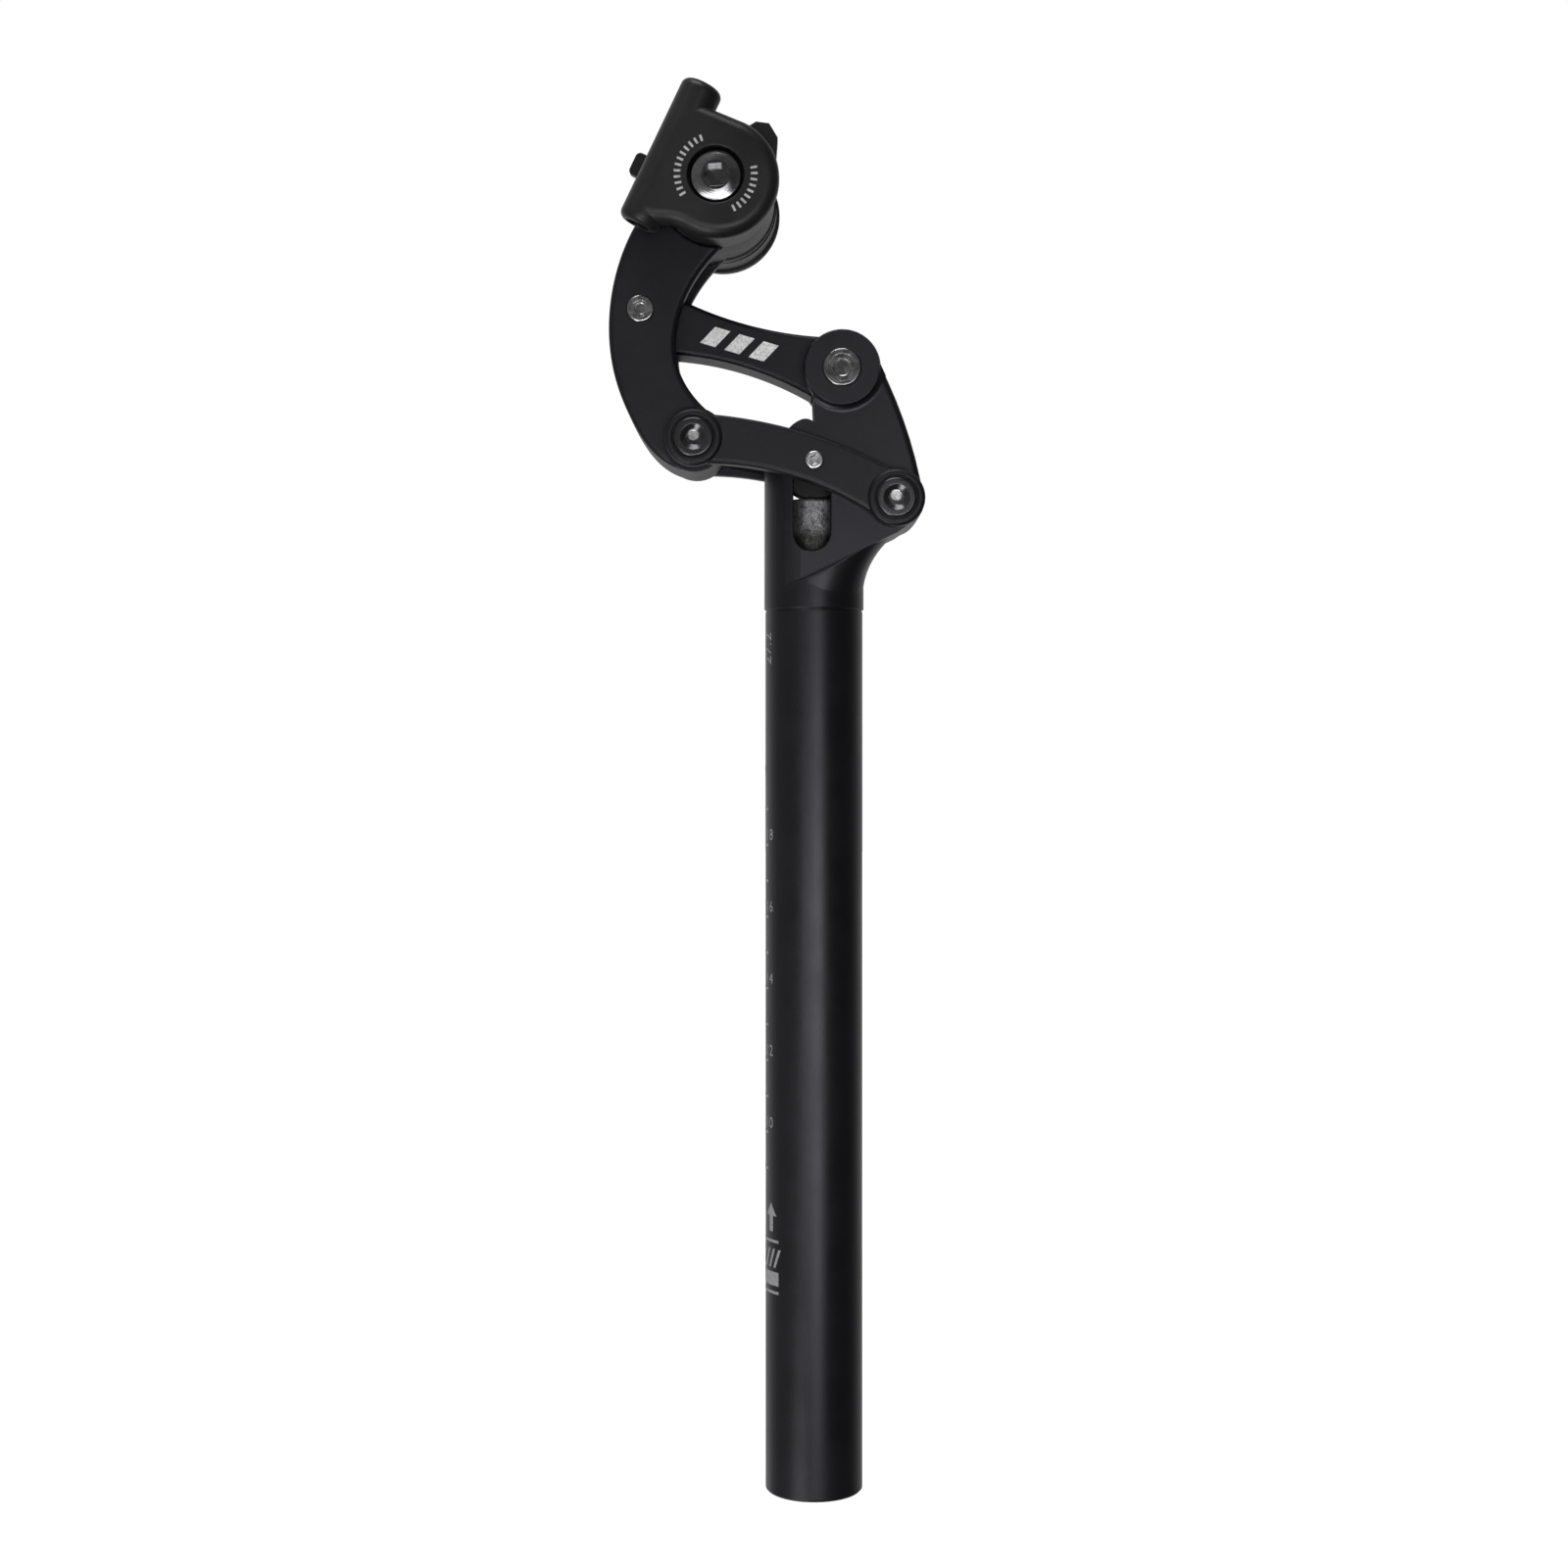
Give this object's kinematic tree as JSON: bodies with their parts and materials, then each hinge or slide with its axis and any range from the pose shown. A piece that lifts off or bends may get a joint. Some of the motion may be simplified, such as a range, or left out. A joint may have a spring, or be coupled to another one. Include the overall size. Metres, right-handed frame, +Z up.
{
  "type": "suspension seatpost",
  "caption": "Parallelogram suspension seatpost: two links carry a C-shaped head with a one-bolt saddle-rail clamp, and a roller presses a spring plunger down inside a round post.",
  "frame": {"origin": "on the post's axis, where its end chamfer starts, 0.6 mm above its lower end", "axes": "+Z up the post, +X to the front of the bicycle, +Y to its left"},
  "size_m": [0.0871, 0.0556, 0.3892],
  "materials": {
    "post_anodised": "satin black anodised forging, white printed graduations",
    "link_anodised": "satin black anodised forging",
    "clamp_anodised": "satin black anodised forging with soft edges",
    "axle_black": "black oxide steel",
    "pin_steel": "ground steel with a light oil film",
    "bolt_steel": "polished stainless steel",
    "spring_steel": "oiled spring steel",
    "bush_polymer": "dark bearing polymer",
    "roller_polymer": "hard grey-black acetal",
    "elastomer": "soft black elastomer",
    "plunger_alloy": "machined alloy smeared with grease",
    "cap_alloy": "black anodised turned alloy"
  },
  "bodies": {
    "post": {"post_body": "post_anodised", "guide_sleeve": "bush_polymer", "coil_spring": "spring_steel", "front_bushes": "bush_polymer", "upper_front_pin": "pin_steel"},
    "lower_link": {"link_plate_right": "link_anodised", "link_plate_left": "link_anodised", "front_axle": "pin_steel", "front_axle_screws": "axle_black", "rear_axle": "pin_steel", "rear_axle_screws": "axle_black", "roller_axle": "pin_steel", "roller_spacers": "pin_steel"},
    "roller": {"roller": "roller_polymer", "roller_bush": "pin_steel"},
    "upper_link": {"upper_link": "link_anodised", "upper_front_bushes": "bush_polymer", "upper_rear_bushes": "bush_polymer"},
    "bracket": {"head_bracket": "link_anodised", "rear_bushes": "bush_polymer", "upper_rear_pin": "pin_steel"},
    "saddle_clamp": {"inner_clamp_right": "clamp_anodised", "inner_clamp_left": "clamp_anodised", "outer_clamp_right": "clamp_anodised", "outer_clamp_left": "clamp_anodised", "clamp_bolt": "bolt_steel", "clamp_nut": "bolt_steel"},
    "plunger": {"plunger": "plunger_alloy"},
    "preload_seat": {"spring_seat": "cap_alloy", "bump_stop": "elastomer"},
    "preload_cap": {"preload_cap": "cap_alloy"}
  },
  "joints": [
    {"name": "lower_link_pivot", "type": "hinge", "parent": "post", "child": "lower_link", "pos_m": [0.0224, 0, 0.2756], "axis": [0, -1, 0], "range_deg": [0, 40], "stiffness_Nm_per_rad": 45, "springref_deg": -17.19},
    {"name": "upper_link_pivot", "type": "hinge", "parent": "post", "child": "upper_link", "pos_m": [0.0076, 0, 0.3117], "axis": [0, -1, 0], "range_deg": [0, 40]},
    {"name": "bracket_pivot", "type": "hinge", "parent": "lower_link", "child": "bracket", "pos_m": [-0.03321, 0, 0.29207], "axis": [0, -1, 0], "range_deg": [-40, 0]},
    {"name": "plunger_slide", "type": "slide", "parent": "post", "child": "plunger", "axis": [0, 0, -1], "range_m": [0, 0.0169], "deforming": ["coil_spring"]},
    {"name": "roller_spin", "type": "hinge", "parent": "lower_link", "child": "roller", "pos_m": [-0.0001, 0, 0.2858], "axis": [0, -1, 0], "continuous": true},
    {"name": "clamp_tilt", "type": "hinge", "parent": "bracket", "child": "saddle_clamp", "pos_m": [-0.0268, 0, 0.3615], "axis": [0, 1, 0], "range_deg": [-20, 80]},
    {"name": "preload_slide", "type": "slide", "parent": "post", "child": "preload_seat", "axis": [0, 0, 1], "range_m": [-0.003, 0]},
    {"name": "preload_turn", "type": "hinge", "parent": "preload_seat", "child": "preload_cap", "pos_m": [0, 0, 0.02], "axis": [0, 0, 1], "range_deg": [-720, 0]}
  ],
  "couplings": [
    {"joint": "upper_link_pivot", "follows": "lower_link_pivot", "ratio": 1},
    {"joint": "bracket_pivot", "follows": "lower_link_pivot", "ratio": -1},
    {"joint": "plunger_slide", "follows": "lower_link_pivot", "m_per_rad": 0.0242},
    {"joint": "preload_slide", "follows": "preload_turn", "m_per_rad": 0.00023873}
  ]
}
